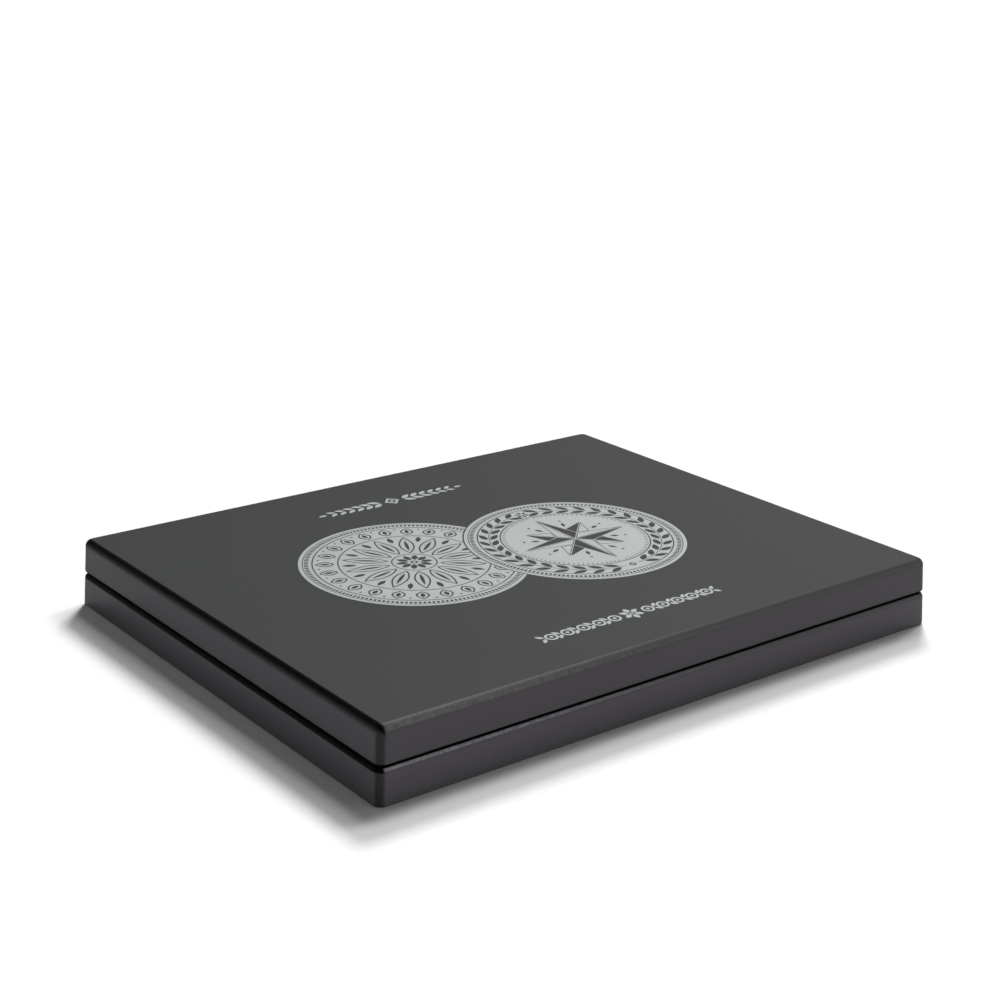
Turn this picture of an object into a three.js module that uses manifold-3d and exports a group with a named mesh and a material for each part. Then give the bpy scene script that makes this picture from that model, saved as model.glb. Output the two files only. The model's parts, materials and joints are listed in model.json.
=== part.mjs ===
// Coin case: a lacquered wooden box of mitred rails and glued panels, with a tray of round
// recesses in the base, a padded lining in the lid, two stop hinges and two magnet catches.
// Millimetres, +Z up, +X along the front to the right, the front at -Y, and the origin under
// the middle of the base.

import * as THREE from "three";
import { mergeVertices } from "three/addons/utils/BufferGeometryUtils.js";
import Module from "manifold-3d";

const wasm = await Module();
wasm.setup();

// Tray of recesses, which sets the length and depth of the case
const columns = 5;
const rows = 4;
const recessDiameter = 46;
const columnWeb = 10.5;
const rowWeb = 9.5;
const boardEndMargin = 7.2;
const boardSideMargin = 6.95;
const trayClearance = 0.3;

// Wooden carcass
const railWidth = 9;
const cornerRadius = 4;
const leastCornerRadius = 0.2;
const topEdgeRound = 2.8;
const lidSeamRound = 1;
const baseSeamRound = 2.5;
const bottomEdgeRound = 0.8;
const seamGap = 0.4;
const mitreGlueLine = 0.1;

// Layers from the bottom up
const bottomPanelThickness = 3.5;
const riserThickness = 2.6;
const floorThickness = 1;
const boardThickness = 5.5;
const rimAboveBoard = 2.2;
const padSetback = 1.8;
const padCrownThickness = 7.2;
const padBackGap = 0.3;
const padBoardThickness = 1.5;
const topPanelThickness = 4;

// Lining cushion
const padSideGap = 0.5;
const padEdgeThickness = 2.2;
const padDrawIn = 1.6;
const padCrownPower = 8;

// Magnet catches
const magnetDiameter = 5;
const magnetThickness = 3;
const magnetProud = 0.15;
const magnetPocketClearance = 0.1;
const magnetFromEnd = 42.5;

// Stop hinges
const hingeFromEnd = 57.5;
const hingeLength = 30;
const centreKnuckleLength = 10;
const knuckleSideGap = 0.2;
const barrelRadius = 2;
const pinRadius = 1;
const pinClearance = 0.05;
const leafThickness = 1.2;
const leafReach = 7.8;
const leafSeatClearance = 0.1;
const knuckleClearance = 0.2;
const barrelNotchClearance = 0.3;
const stopWall = 1.1;
const stopRoot = 0.3;
const lidOpenDegrees = 98;
const lugSetbackDegrees = 2;
const lugSpanDegrees = 26;
const stopSpanDegrees = 26;
const stopClearanceDegrees = 0.4;
const uprightDegrees = 90;

// Hinge screws
const screwSpacing = 16;
const screwLength = 7;
const screwShankRadius = 1;
const screwHeadRadius = 1.8;
const screwHeadHeight = 0.8;
const screwHeadRim = 0.15;
const screwHeadSink = 0.1;
const screwTipLength = 1.6;
const screwClearance = 0.1;
const driveSlotWidth = 0.5;
const driveSlotDepth = 0.5;
const driveSlotLengthShare = 0.62;

// Faceting
const cornerSegments = 6;
const edgeSegments = 5;
const recessSegments = 20;
const barrelSegments = 24;
const magnetSegments = 24;
const screwSegments = 16;
const stopSegments = 3;
const padStepsAlong = 22;
const padStepsAcross = 18;

// A cut runs this far past the face that it opens
const overrun = 1;

// Sizes and places worked out from the above
const boardLength = columns * recessDiameter + (columns - 1) * columnWeb + 2 * boardEndMargin;
const boardDepth = rows * recessDiameter + (rows - 1) * rowWeb + 2 * boardSideMargin;
const pocketHalfX = boardLength / 2 + trayClearance;
const pocketHalfY = boardDepth / 2 + trayClearance;
const halfX = pocketHalfX + railWidth;
const halfY = pocketHalfY + railWidth;
const riserZ = bottomPanelThickness;
const floorZ = riserZ + riserThickness;
const boardZ = floorZ + floorThickness;
const baseTopZ = boardZ + boardThickness + rimAboveBoard;
const lidZ = baseTopZ + seamGap;
const padBackZ = lidZ + padSetback + padCrownThickness;
const padBoardZ = padBackZ + padBackGap;
const topPanelZ = padBoardZ + padBoardThickness;
const caseTopZ = topPanelZ + topPanelThickness;
const axisY = halfY;
const axisZ = baseTopZ + seamGap / 2;
const hingeX = halfX - hingeFromEnd;
const magnetX = halfX - magnetFromEnd;

// Finishes
const lacquer = new THREE.MeshStandardMaterial({ color: 0x464548, roughness: 0.42, metalness: 0 });
const velour = new THREE.MeshStandardMaterial({ color: 0x15161a, roughness: 0.95, metalness: 0 });
const satin = new THREE.MeshStandardMaterial({ color: 0x1c1d21, roughness: 0.55, metalness: 0 });
const fibreboard = new THREE.MeshStandardMaterial({ color: 0x8a6f52, roughness: 0.85, metalness: 0 });
const card = new THREE.MeshStandardMaterial({ color: 0x77746c, roughness: 0.9, metalness: 0 });
const nickel = new THREE.MeshStandardMaterial({ color: 0xb9b8b4, roughness: 0.28, metalness: 1 });

// A closed three.js geometry as a solid that can be cut and joined
function toSolid(geometry) {
  geometry.deleteAttribute("normal");
  geometry.deleteAttribute("uv");
  const merged = mergeVertices(geometry);
  return new wasm.Manifold(
    new wasm.Mesh({
      numProp: 3,
      vertProperties: merged.attributes.position.array,
      triVerts: new Uint32Array(merged.index.array),
    }),
  );
}

// A solid as a named mesh
function piece(name, solid, material) {
  const faces = solid.getMesh();
  const geometry = new THREE.BufferGeometry();
  geometry.setAttribute("position", new THREE.BufferAttribute(faces.vertProperties, 3));
  geometry.setIndex(new THREE.BufferAttribute(faces.triVerts, 1));
  const mesh = new THREE.Mesh(geometry, material);
  mesh.name = name;
  return mesh;
}

// An upright-sided block between two corners
function block(low, high) {
  const geometry = new THREE.BoxGeometry(high[0] - low[0], high[1] - low[1], high[2] - low[2]);
  geometry.translate((low[0] + high[0]) / 2, (low[1] + high[1]) / 2, (low[2] + high[2]) / 2);
  return toSolid(geometry);
}

// A rod about the hinge axis, between two places along X
function rodAlongX(radius, fromX, toX) {
  const geometry = new THREE.CylinderGeometry(radius, radius, toX - fromX, barrelSegments);
  geometry.rotateZ(Math.PI / 2);
  geometry.translate((fromX + toX) / 2, axisY, axisZ);
  return toSolid(geometry);
}

// An upright disc or hole
function discAlongZ(radius, x, y, fromZ, toZ, segments) {
  const geometry = new THREE.CylinderGeometry(radius, radius, toZ - fromZ, segments);
  geometry.rotateX(Math.PI / 2);
  geometry.translate(x, y, (fromZ + toZ) / 2);
  return toSolid(geometry);
}

// One level of the carcass: a rectangle with rounded corners, drawn in by an inset
function roundedRing(inset, z) {
  const radius = Math.max(cornerRadius - inset, leastCornerRadius);
  const centreX = halfX - inset - radius;
  const centreY = halfY - inset - radius;
  const points = [];
  for (let corner = 0; corner < 4; corner++) {
    const signX = corner === 0 || corner === 3 ? 1 : -1;
    const signY = corner < 2 ? 1 : -1;
    for (let step = 0; step <= cornerSegments; step++) {
      const angle = ((corner + step / cornerSegments) * Math.PI) / 2;
      const x = signX * centreX + radius * Math.cos(angle);
      const y = signY * centreY + radius * Math.sin(angle);
      points.push([x, y, z]);
    }
  }
  return points;
}

// A slab of the case's full outline, its lower and upper edges rounded
function roundedSlab(lowZ, highZ, lowRound, highRound) {
  const rings = [];
  for (let step = 0; step <= edgeSegments && lowRound > 0; step++) {
    const angle = ((step / edgeSegments) * Math.PI) / 2;
    const inset = lowRound * (1 - Math.sin(angle));
    rings.push(roundedRing(inset, lowZ + lowRound * (1 - Math.cos(angle))));
  }
  if (lowRound === 0) {
    rings.push(roundedRing(0, lowZ));
  }
  for (let step = 0; step <= edgeSegments && highRound > 0; step++) {
    const angle = ((step / edgeSegments) * Math.PI) / 2;
    const inset = highRound * (1 - Math.cos(angle));
    rings.push(roundedRing(inset, highZ - highRound * (1 - Math.sin(angle))));
  }
  if (highRound === 0) {
    rings.push(roundedRing(0, highZ));
  }
  return loft(rings, [0, 0, lowZ], [0, 0, highZ]);
}

// Rings of points joined into a closed solid, each end closed by a fan to its middle
function loft(rings, lowMiddle, highMiddle) {
  const count = rings[0].length;
  const points = [...rings.flat(), lowMiddle, highMiddle];
  const lowIndex = points.length - 2;
  const highIndex = points.length - 1;
  const last = (rings.length - 1) * count;
  const index = [];
  for (let i = 0; i < count; i++) {
    const next = (i + 1) % count;
    for (let ring = 0; ring < rings.length - 1; ring++) {
      const here = ring * count;
      const above = here + count;
      index.push(here + i, here + next, above + next);
      index.push(here + i, above + next, above + i);
    }
    index.push(lowIndex, next, i);
    index.push(highIndex, last + i, last + next);
  }
  const geometry = new THREE.BufferGeometry();
  geometry.setAttribute("position", new THREE.Float32BufferAttribute(points.flat(), 3));
  geometry.setIndex(index);
  return toSolid(geometry);
}

// The part of a frame that belongs to one rail, between its two 45 degree mitres
function mitreWedge(side, lowZ, highZ) {
  const alongX = side === "front" || side === "rear";
  const along = alongX ? halfX : halfY;
  const across = alongX ? halfY : halfX;
  const sign = side === "front" || side === "left" ? -1 : 1;
  const setback = mitreGlueLine / Math.SQRT2;
  const reach = railWidth + overrun;
  const outline = [
    [-along - overrun + setback, across + overrun],
    [along + overrun - setback, across + overrun],
    [along - reach - setback, across - reach],
    [-along + reach + setback, across - reach],
  ];
  const place = ([s, t]) => new THREE.Vector2(alongX ? s : sign * t, alongX ? sign * t : s);
  const shape = new THREE.Shape(outline.map(place));
  const geometry = new THREE.ExtrudeGeometry(shape, { depth: highZ - lowZ, bevelEnabled: false });
  geometry.translate(0, 0, lowZ);
  return toSolid(geometry);
}

// Four mitred rails cut from one rounded frame
function rails(lowZ, highZ, lowRound, highRound) {
  const pocket = block(
    [-pocketHalfX, -pocketHalfY, lowZ - overrun],
    [pocketHalfX, pocketHalfY, highZ + overrun],
  );
  const frame = roundedSlab(lowZ, highZ, lowRound, highRound).subtract(pocket);
  const rail = (side) => frame.intersect(mitreWedge(side, lowZ - overrun, highZ + overrun));
  return { front: rail("front"), rear: rail("rear"), left: rail("left"), right: rail("right") };
}

// Places of the magnets and the hinges, left and right of the middle
const magnetPlaces = { left: -magnetX, right: magnetX };
const hingePlaces = { left: -hingeX, right: hingeX };
const flatWidth = railWidth - baseSeamRound;
const magnetY = -halfY + railWidth - flatWidth / 2;

// Base magnets look up and lid magnets look down, each a little proud of its rail
function baseMagnet(x) {
  const topZ = baseTopZ + magnetProud;
  return discAlongZ(magnetDiameter / 2, x, magnetY, topZ - magnetThickness, topZ, magnetSegments);
}

function lidMagnet(x) {
  const lowZ = lidZ - magnetProud;
  return discAlongZ(magnetDiameter / 2, x, magnetY, lowZ, lowZ + magnetThickness, magnetSegments);
}

function magnetPocket(x, inLid) {
  const depth = magnetThickness - magnetProud + magnetPocketClearance;
  const radius = magnetDiameter / 2 + magnetPocketClearance;
  const lowZ = inLid ? lidZ - overrun : baseTopZ - depth;
  const highZ = inLid ? lidZ + depth : baseTopZ + overrun;
  return discAlongZ(radius, x, magnetY, lowZ, highZ, magnetSegments);
}

// Where a hinge's leaves and screws lie, measured from the axis
const leafInnerY = axisY - leafReach;
const leafScrewY = (leafInnerY + axisY - barrelRadius - barrelNotchClearance) / 2;
const screwOffsets = { outer: screwSpacing / 2, inner: -screwSpacing / 2 };
const screwX = (x, offset) => x + Math.sign(x) * offset;

// Turns a solid made for the base into its mirror image in the lid
function mirrorToLid(solid) {
  return solid.translate([0, 0, -axisZ]).mirror([0, 0, 1]).translate([0, 0, axisZ]);
}

// A wall round the hinge axis between two angles, counted from the rear towards the top
function ringSector(innerRadius, outerRadius, fromDegrees, toDegrees, fromX, toX) {
  const from = THREE.MathUtils.degToRad(fromDegrees);
  const to = THREE.MathUtils.degToRad(toDegrees);
  const outline = [];
  for (let step = 0; step <= stopSegments; step++) {
    const angle = from + ((to - from) * step) / stopSegments;
    outline.push(new THREE.Vector2(outerRadius * Math.cos(angle), outerRadius * Math.sin(angle)));
  }
  for (let step = stopSegments; step >= 0; step--) {
    const angle = from + ((to - from) * step) / stopSegments;
    outline.push(new THREE.Vector2(innerRadius * Math.cos(angle), innerRadius * Math.sin(angle)));
  }
  const options = { depth: toX - fromX, bevelEnabled: false };
  const geometry = new THREE.ExtrudeGeometry(new THREE.Shape(outline), options);
  geometry.rotateX(Math.PI / 2);
  geometry.rotateZ(Math.PI / 2);
  geometry.translate(fromX, axisY, axisZ);
  return toSolid(geometry);
}

// The stretches of a hinge's barrel: two outer knuckles and one between them
function knuckleStretches(x) {
  const half = hingeLength / 2;
  const centreHalf = centreKnuckleLength / 2;
  return {
    centre: [x - centreHalf, x + centreHalf],
    outer: [
      [x - half, x - centreHalf - knuckleSideGap],
      [x + centreHalf + knuckleSideGap, x + half],
    ],
  };
}

// A plate in the base's half of the hinge, with its two countersunk holes
function leafPlate(x) {
  const topZ = baseTopZ;
  let plate = block(
    [x - hingeLength / 2, leafInnerY, topZ - leafThickness],
    [x + hingeLength / 2, axisY, topZ],
  );
  for (const offset of Object.values(screwOffsets)) {
    const hole = screwBody(screwClearance, overrun);
    plate = plate.subtract(hole.translate([screwX(x, offset), leafScrewY, topZ - screwHeadSink]));
  }
  return plate;
}

// The base leaf carries the outer knuckles and the stop bar behind the barrel
function baseLeaf(x) {
  const { centre, outer } = knuckleStretches(x);
  const bore = rodAlongX(pinRadius + pinClearance, x - hingeLength, x + hingeLength);
  const sweepRadius = barrelRadius + knuckleClearance;
  const sweep = rodAlongX(sweepRadius, centre[0] - knuckleSideGap, centre[1] + knuckleSideGap);
  const lugLow = uprightDegrees - lugSetbackDegrees - lugSpanDegrees;
  const stopTop = lugLow - lidOpenDegrees - stopClearanceDegrees;
  const stopLow = stopTop - stopSpanDegrees;
  const stopOuter = sweepRadius + stopWall;
  const half = hingeLength / 2;
  let leaf = leafPlate(x).subtract(sweep);
  for (const [fromX, toX] of outer) {
    const root = barrelRadius - stopRoot;
    leaf = leaf.add(rodAlongX(barrelRadius, fromX, toX));
    leaf = leaf.add(ringSector(root, stopOuter, stopLow, stopTop, fromX, toX));
  }
  leaf = leaf.add(ringSector(sweepRadius, stopOuter, stopLow, stopTop, x - half, x + half));
  return leaf.subtract(bore);
}

// The lid leaf carries the centre knuckle and the lug that meets the stop bar
function lidLeaf(x) {
  const { centre } = knuckleStretches(x);
  const bore = rodAlongX(pinRadius + pinClearance, x - hingeLength, x + hingeLength);
  const sweepRadius = barrelRadius + knuckleClearance;
  const lugHigh = uprightDegrees - lugSetbackDegrees;
  const lugLow = lugHigh - lugSpanDegrees;
  const root = barrelRadius - stopRoot;
  let leaf = mirrorToLid(leafPlate(x));
  const half = hingeLength / 2 + overrun;
  leaf = leaf.subtract(rodAlongX(sweepRadius, x - half, centre[0]));
  leaf = leaf.subtract(rodAlongX(sweepRadius, centre[1], x + half));
  leaf = leaf.add(rodAlongX(barrelRadius, centre[0], centre[1]));
  leaf = leaf.add(ringSector(root, sweepRadius + stopWall, lugLow, lugHigh, centre[0], centre[1]));
  return leaf.subtract(bore);
}

function hingePin(x) {
  return rodAlongX(pinRadius, x - hingeLength / 2, x + hingeLength / 2);
}

// The outline of a screw with its head's flat at z = 0, grown by a clearance for its hole
function screwBody(clearance, above) {
  const shank = screwShankRadius + clearance;
  const head = screwHeadRadius + clearance;
  const neckZ = -screwHeadRim - screwHeadHeight;
  const tipZ = -screwLength - clearance;
  const profile = [
    new THREE.Vector2(0, tipZ),
    new THREE.Vector2(shank, tipZ + screwTipLength),
    new THREE.Vector2(shank, neckZ),
    new THREE.Vector2(head, -screwHeadRim),
    new THREE.Vector2(head, above),
    new THREE.Vector2(0, above),
  ];
  const geometry = new THREE.LatheGeometry(profile, screwSegments);
  geometry.rotateX(Math.PI / 2);
  return toSolid(geometry);
}

// A countersunk screw with a cross recess, driven down into the base
function baseScrew(x) {
  const halfSlot = screwHeadRadius * driveSlotLengthShare;
  const slot = block(
    [-halfSlot, -driveSlotWidth / 2, -driveSlotDepth],
    [halfSlot, driveSlotWidth / 2, overrun],
  );
  const screw = screwBody(0, 0).subtract(slot).subtract(slot.rotate([0, 0, 90]));
  return screw.translate([x, leafScrewY, baseTopZ - screwHeadSink]);
}

// The room that a hinge takes in the base's rear rail: its leaf, barrel and screws
function hingeMortise(x) {
  const half = hingeLength / 2 + leafSeatClearance;
  const sink = leafThickness + leafSeatClearance;
  const barrelHalf = hingeLength / 2 + barrelNotchClearance;
  let room = block(
    [x - half, leafInnerY - leafSeatClearance, baseTopZ - sink],
    [x + half, axisY + overrun, baseTopZ + overrun],
  );
  const notchRadius = barrelRadius + barrelNotchClearance;
  room = room.add(rodAlongX(notchRadius, x - barrelHalf, x + barrelHalf));
  for (const offset of Object.values(screwOffsets)) {
    const pilot = screwBody(screwClearance, 0);
    room = room.add(pilot.translate([screwX(x, offset), leafScrewY, baseTopZ - screwHeadSink]));
  }
  return room;
}

// A crowned cushion, flat at its back, with its sides drawn in between the corners
function cushion() {
  const halfLength = pocketHalfX - padSideGap;
  const halfDepth = pocketHalfY - padSideGap;
  const spread = (step, steps) => -Math.cos((step / steps) * Math.PI);
  const fall = (share) => Math.sqrt(1 - Math.abs(share) ** padCrownPower);
  const points = [];
  for (const crowned of [false, true]) {
    for (let j = 0; j <= padStepsAcross; j++) {
      for (let i = 0; i <= padStepsAlong; i++) {
        const u = spread(i, padStepsAlong);
        const v = spread(j, padStepsAcross);
        const rise = (padCrownThickness - padEdgeThickness) * fall(u) * fall(v);
        const x = u * (halfLength - padDrawIn * (1 - v * v));
        const y = v * (halfDepth - padDrawIn * (1 - u * u));
        points.push([x, y, crowned ? padBackZ - padEdgeThickness - rise : padBackZ]);
      }
    }
  }
  const rowLength = padStepsAlong + 1;
  const layer = rowLength * (padStepsAcross + 1);
  const index = [];
  const quad = (a, b, c, d) => index.push(a, b, c, a, c, d);
  for (let j = 0; j < padStepsAcross; j++) {
    for (let i = 0; i < padStepsAlong; i++) {
      const at = j * rowLength + i;
      quad(at, at + 1, at + rowLength + 1, at + rowLength);
      quad(layer + at, layer + at + rowLength, layer + at + rowLength + 1, layer + at + 1);
    }
  }
  const edge = [];
  for (let i = 0; i < padStepsAlong; i++) {
    edge.push(i);
  }
  for (let j = 0; j < padStepsAcross; j++) {
    edge.push(j * rowLength + padStepsAlong);
  }
  for (let i = padStepsAlong; i > 0; i--) {
    edge.push(padStepsAcross * rowLength + i);
  }
  for (let j = padStepsAcross; j > 0; j--) {
    edge.push(j * rowLength);
  }
  edge.forEach((at, i) => {
    const next = edge[(i + 1) % edge.length];
    quad(at, layer + at, layer + next, next);
  });
  const geometry = new THREE.BufferGeometry();
  geometry.setAttribute("position", new THREE.Float32BufferAttribute(points.flat(), 3));
  geometry.setIndex(index);
  return toSolid(geometry);
}

// The tray board, with a round hole for each coin
function trayBoard() {
  const halfLength = boardLength / 2;
  const halfDepth = boardDepth / 2;
  const shape = new THREE.Shape([
    new THREE.Vector2(-halfLength, -halfDepth),
    new THREE.Vector2(halfLength, -halfDepth),
    new THREE.Vector2(halfLength, halfDepth),
    new THREE.Vector2(-halfLength, halfDepth),
  ]);
  for (let column = 0; column < columns; column++) {
    for (let row = 0; row < rows; row++) {
      const x = (column - (columns - 1) / 2) * (recessDiameter + columnWeb);
      const y = (row - (rows - 1) / 2) * (recessDiameter + rowWeb);
      const hole = new THREE.Path();
      hole.absarc(x, y, recessDiameter / 2, 0, 2 * Math.PI, true);
      shape.holes.push(hole);
    }
  }
  const options = { depth: boardThickness, bevelEnabled: false, curveSegments: recessSegments };
  const geometry = new THREE.ExtrudeGeometry(shape, options);
  geometry.translate(0, 0, boardZ);
  return toSolid(geometry);
}

// A flat sheet of the tray's outline
function sheet(lowZ, thickness) {
  return block(
    [-boardLength / 2, -boardDepth / 2, lowZ],
    [boardLength / 2, boardDepth / 2, lowZ + thickness],
  );
}

// Base: panel, rails, tray, magnets and the hinges' fixed half
const base = new THREE.Group();
const baseRails = rails(bottomPanelThickness, baseTopZ, 0, baseSeamRound);
for (const x of Object.values(magnetPlaces)) {
  baseRails.front = baseRails.front.subtract(magnetPocket(x, false));
}
for (const x of Object.values(hingePlaces)) {
  baseRails.rear = baseRails.rear.subtract(hingeMortise(x));
}
for (const [side, rail] of Object.entries(baseRails)) {
  base.add(piece(`base_${side}_rail`, rail, lacquer));
}
const bottomPanel = roundedSlab(0, bottomPanelThickness, bottomEdgeRound, 0);
base.add(piece("base_bottom_panel", bottomPanel, lacquer));
base.add(piece("insert_riser", sheet(riserZ, riserThickness), fibreboard));
base.add(piece("insert_floor", sheet(floorZ, floorThickness), velour));
base.add(piece("insert_board", trayBoard(), velour));
for (const [side, x] of Object.entries(magnetPlaces)) {
  base.add(piece(`base_magnet_${side}`, baseMagnet(x), nickel));
}
for (const [side, x] of Object.entries(hingePlaces)) {
  base.add(piece(`hinge_${side}_base_leaf`, baseLeaf(x), nickel));
  base.add(piece(`hinge_${side}_pin`, hingePin(x), nickel));
  for (const [place, offset] of Object.entries(screwOffsets)) {
    const screw = baseScrew(screwX(x, offset));
    base.add(piece(`hinge_${side}_base_screw_${place}`, screw, nickel));
  }
}

// Lid: panel, rails, lining, magnets and the hinges' moving half
const lid = new THREE.Group();
const lidRails = rails(lidZ, topPanelZ, lidSeamRound, 0);
for (const x of Object.values(magnetPlaces)) {
  lidRails.front = lidRails.front.subtract(magnetPocket(x, true));
}
for (const x of Object.values(hingePlaces)) {
  lidRails.rear = lidRails.rear.subtract(mirrorToLid(hingeMortise(x)));
}
for (const [side, rail] of Object.entries(lidRails)) {
  lid.add(piece(`lid_${side}_rail`, rail, lacquer));
}
const topPanel = roundedSlab(topPanelZ, caseTopZ, 0, topEdgeRound);
lid.add(piece("lid_top_panel", topPanel, lacquer));
lid.add(piece("lid_pad_board", sheet(padBoardZ, padBoardThickness), card));
lid.add(piece("lid_pad", cushion(), satin));
for (const [side, x] of Object.entries(magnetPlaces)) {
  lid.add(piece(`lid_magnet_${side}`, lidMagnet(x), nickel));
}
for (const [side, x] of Object.entries(hingePlaces)) {
  lid.add(piece(`hinge_${side}_lid_leaf`, lidLeaf(x), nickel));
  for (const [place, offset] of Object.entries(screwOffsets)) {
    const screw = mirrorToLid(baseScrew(screwX(x, offset)));
    lid.add(piece(`hinge_${side}_lid_screw_${place}`, screw, nickel));
  }
}

const coinCase = new THREE.Group();
coinCase.add(base, lid);

export default coinCase;
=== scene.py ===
"""A black lacquered coin case with a hinged lid, dressed around its CAD frame."""
import json
import math

import bmesh
import bpy
from mathutils import Matrix, Vector


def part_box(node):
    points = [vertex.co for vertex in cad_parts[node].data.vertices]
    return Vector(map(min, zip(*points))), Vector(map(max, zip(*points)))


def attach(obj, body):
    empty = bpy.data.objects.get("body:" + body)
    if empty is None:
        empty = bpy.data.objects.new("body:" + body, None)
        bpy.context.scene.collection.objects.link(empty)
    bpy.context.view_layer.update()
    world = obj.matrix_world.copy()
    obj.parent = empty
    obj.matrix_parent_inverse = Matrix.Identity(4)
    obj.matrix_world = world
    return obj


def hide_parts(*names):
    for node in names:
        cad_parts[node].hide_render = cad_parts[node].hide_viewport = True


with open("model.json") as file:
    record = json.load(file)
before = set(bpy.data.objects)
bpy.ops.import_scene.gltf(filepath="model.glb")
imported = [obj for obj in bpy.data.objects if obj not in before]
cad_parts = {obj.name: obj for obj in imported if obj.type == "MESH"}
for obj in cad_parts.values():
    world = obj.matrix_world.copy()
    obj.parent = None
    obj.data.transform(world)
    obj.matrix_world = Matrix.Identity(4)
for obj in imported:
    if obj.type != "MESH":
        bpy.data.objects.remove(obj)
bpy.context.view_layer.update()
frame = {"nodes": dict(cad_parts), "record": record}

# Camera
# The case is seen from its front left, from about 95 cm away and well above the table. A
# parent slants the camera's axes, so that its picture plane is upright and the case's upright
# edges stay parallel, as in the photograph, while the lens looks down.
camera_place = Vector((-0.5494, -0.6965, 0.3390))
camera_heading = math.radians(37.815)
camera_roll = math.radians(1.019)
camera_lens = 68.92
camera_fall = 0.3232  # how far the line of sight drops for each metre ahead
nearest_seen = 0.01
furthest_seen = 50
upright = Vector((0, 0, 1))


def added(name, data):
    """A new object in the scene: a camera, a lamp, a mesh or a curve."""
    made = bpy.data.objects.new(name, data)
    bpy.context.collection.objects.link(made)
    return made


level = Vector((math.sin(camera_heading), math.cos(camera_heading), 0))
aside = level.cross(upright)
frame_right = aside * math.cos(camera_roll) + upright * math.sin(camera_roll)
frame_up = upright * math.cos(camera_roll) - aside * math.sin(camera_roll)
sight = level - frame_up * camera_fall
slanted = Matrix((frame_right, frame_up, -sight.normalized())).transposed()
camera = added("camera", bpy.data.cameras.new("camera"))
camera.data.lens = camera_lens * sight.length
camera.data.clip_start = nearest_seen
camera.data.clip_end = furthest_seen
camera.parent = added("camera_stand", None)
camera.matrix_parent_inverse = Matrix.Translation(camera_place) @ slanted.to_4x4()
bpy.context.scene.camera = camera
bpy.context.scene.view_settings.view_transform = "Standard"


# Studio
# The case lies on a white sweep. Large soft lamps behind it on the right throw its shadow to
# the front left, a long strip lights its front, and the studio is bright round the sweep and
# dark overhead.
class Field:
    """A value that changes over a surface; sums and products of fields add Math nodes."""

    def __init__(self, finish, socket):
        self.finish = finish
        self.socket = socket

    def __add__(self, other):
        return self.finish.math("ADD", self, other)

    def __sub__(self, other):
        return self.finish.math("SUBTRACT", self, other)

    def __rsub__(self, other):
        return self.finish.math("SUBTRACT", other, self)

    def __mul__(self, other):
        return self.finish.math("MULTIPLY", self, other)

    def __truediv__(self, other):
        return self.finish.math("DIVIDE", self, other)

    __radd__ = __add__
    __rmul__ = __mul__


class Finish:
    """A material or the world: one method makes every node, and the others call it."""

    def __init__(self, owner, shader, **constants):
        self.owner = owner
        owner.use_nodes = True
        self.tree = owner.node_tree
        self.shader = self.tree.nodes[shader]
        self.set(**constants)

    def feed(self, socket, value):
        if isinstance(value, Field):
            value = value.socket
        if isinstance(value, bpy.types.NodeSocket):
            self.tree.links.new(value, socket)
        else:
            socket.default_value = value

    def set(self, **values):
        """Gives the shader's sockets their constants or their fields."""
        for name, value in values.items():
            self.feed(self.shader.inputs[name.replace("_", " ")], value)

    def node(self, kind, settings=(), inputs=()):
        made = self.tree.nodes.new(kind)
        for name, value in dict(settings).items():
            setattr(made, name, value)
        for name, value in dict(inputs).items():
            self.feed(made.inputs[name], value)
        return made

    def field(self, kind, output, settings=(), inputs=()):
        return Field(self, self.node(kind, settings, inputs).outputs[output])

    def math(self, operation, first, second=0.0):
        inputs = {0: first, 1: second}
        return self.field("ShaderNodeMath", 0, {"operation": operation}, inputs)

    def ramp(self, value, start, end, low=0.0, high=1.0):
        """Eases from low to high while the value goes from start to end."""
        inputs = {"Value": value, 1: start, 2: end, 3: low, 4: high}
        settings = {"interpolation_type": "SMOOTHSTEP"}
        return self.field("ShaderNodeMapRange", 0, settings, inputs)

    def blend(self, share, first, second):
        """A colour between two colours."""
        inputs = {0: share, 6: first, 7: second}
        return self.field("ShaderNodeMix", 2, {"data_type": "RGBA"}, inputs)

    def place(self):
        """The point of the surface, in metres."""
        return self.field("ShaderNodeTexCoord", "Object")

    def noise(self, place, scale, detail, roughness, distortion=0.0):
        """Random clouds, from 0 to 1."""
        return self.field("ShaderNodeTexNoise", "Fac", (), {
            "Vector": place, "Scale": scale, "Detail": detail,
            "Roughness": roughness, "Distortion": distortion,
        })

    def relief(self, height, strength, depth):
        """Catches the light as a surface with those heights would."""
        inputs = {"Strength": strength, "Distance": depth, "Height": height}
        self.set(Normal=self.node("ShaderNodeBump", (), inputs).outputs[0])


def new_finish(name, **constants):
    """A material with one Principled shader."""
    return Finish(bpy.data.materials.new(name), "Principled BSDF", **constants)


def srgb(*levels):
    """A colour as it looks on screen, from 0 to 255, as the linear colour of a socket."""
    linear = [
        level / 255 / 12.92 if level <= 10 else ((level / 255 + 0.055) / 1.055) ** 2.4
        for level in levels
    ]
    return (*linear, 1.0)


def finished_mesh(name, shape):
    """A bmesh as a mesh, after which the bmesh is gone."""
    mesh = bpy.data.meshes.new(name)
    shape.to_mesh(mesh)
    shape.free()
    return mesh


def linked(name, mesh, *materials):
    """A mesh as an object of the scene, with its materials."""
    for material in materials:
        mesh.materials.append(material)
    return added(name, mesh)


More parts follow.
